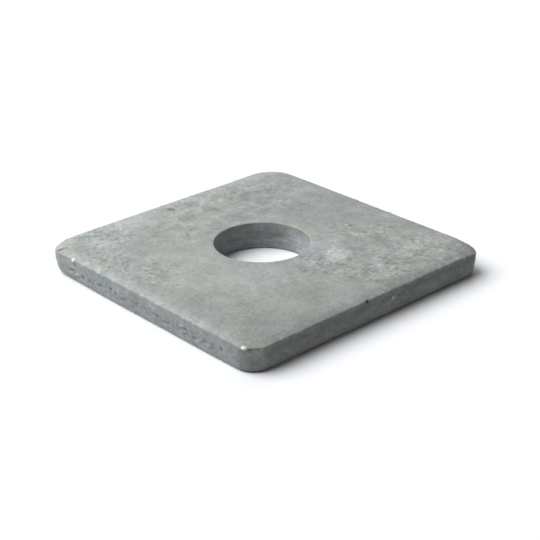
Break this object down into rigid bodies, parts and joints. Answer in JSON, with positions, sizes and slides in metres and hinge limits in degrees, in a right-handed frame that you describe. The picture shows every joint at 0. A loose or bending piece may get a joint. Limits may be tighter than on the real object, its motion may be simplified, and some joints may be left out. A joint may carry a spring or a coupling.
{
  "type": "square plate washer",
  "caption": "Square galvanised steel plate washer with rounded corners and a round punched bolt hole; spreads a bolt's clamp load over the surface beneath it.",
  "frame": {"origin": "middle of the square's underside, which is the face that rests on a surface", "axes": "+Z out of the top face along the bolt hole, +X and +Y square to the plate's sides"},
  "size_m": [0.0508, 0.0508, 0.0049],
  "materials": {
    "galvanised_steel": "hot-dip galvanised, matt mottled grey"
  },
  "bodies": {
    "root": {"plate_washer": "galvanised_steel"}
  },
  "joints": []
}
